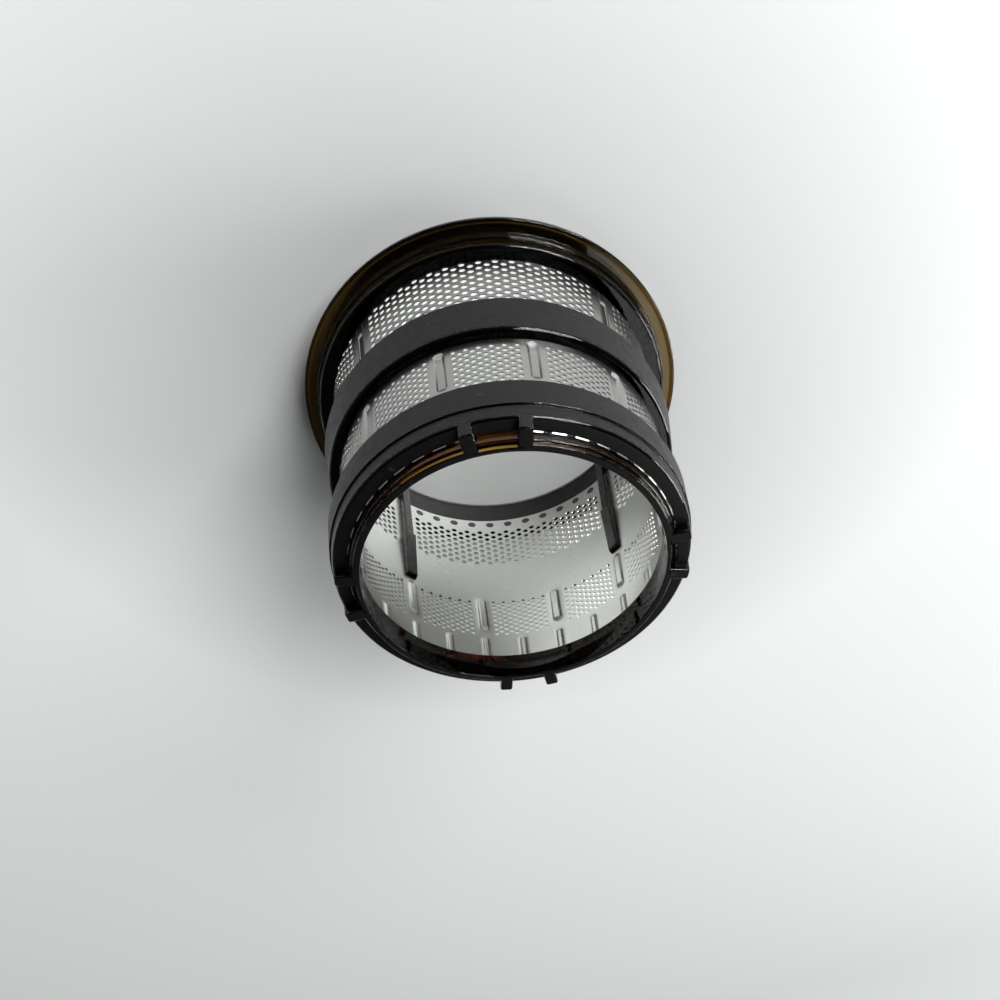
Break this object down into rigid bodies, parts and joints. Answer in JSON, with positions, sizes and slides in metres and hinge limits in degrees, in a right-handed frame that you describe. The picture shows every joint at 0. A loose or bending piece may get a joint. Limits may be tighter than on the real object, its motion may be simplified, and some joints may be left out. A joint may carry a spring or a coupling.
{
  "type": "juicer mesh screen",
  "caption": "Cone-shaped strainer screen for an upright juicer: perforated steel sheet in a flanged dark amber plastic frame, with a lugged locking ring at the narrow end.",
  "frame": {"origin": "centre of the wide end's collar edge, on the plane that it stands on", "axes": "+Z along the screen's axis from the wide end to the narrow locking end; +Y through the middle of one pair of lugs. It works in the juicer with the narrow end down."},
  "size_m": [0.112, 0.112, 0.0865],
  "materials": {
    "steel": "satin rolled stainless",
    "amber_plastic": "glossy with matte outer bands"
  },
  "bodies": {
    "root": {"screen": "steel", "rim_frame": "amber_plastic", "locking_ring": "amber_plastic"}
  },
  "joints": []
}
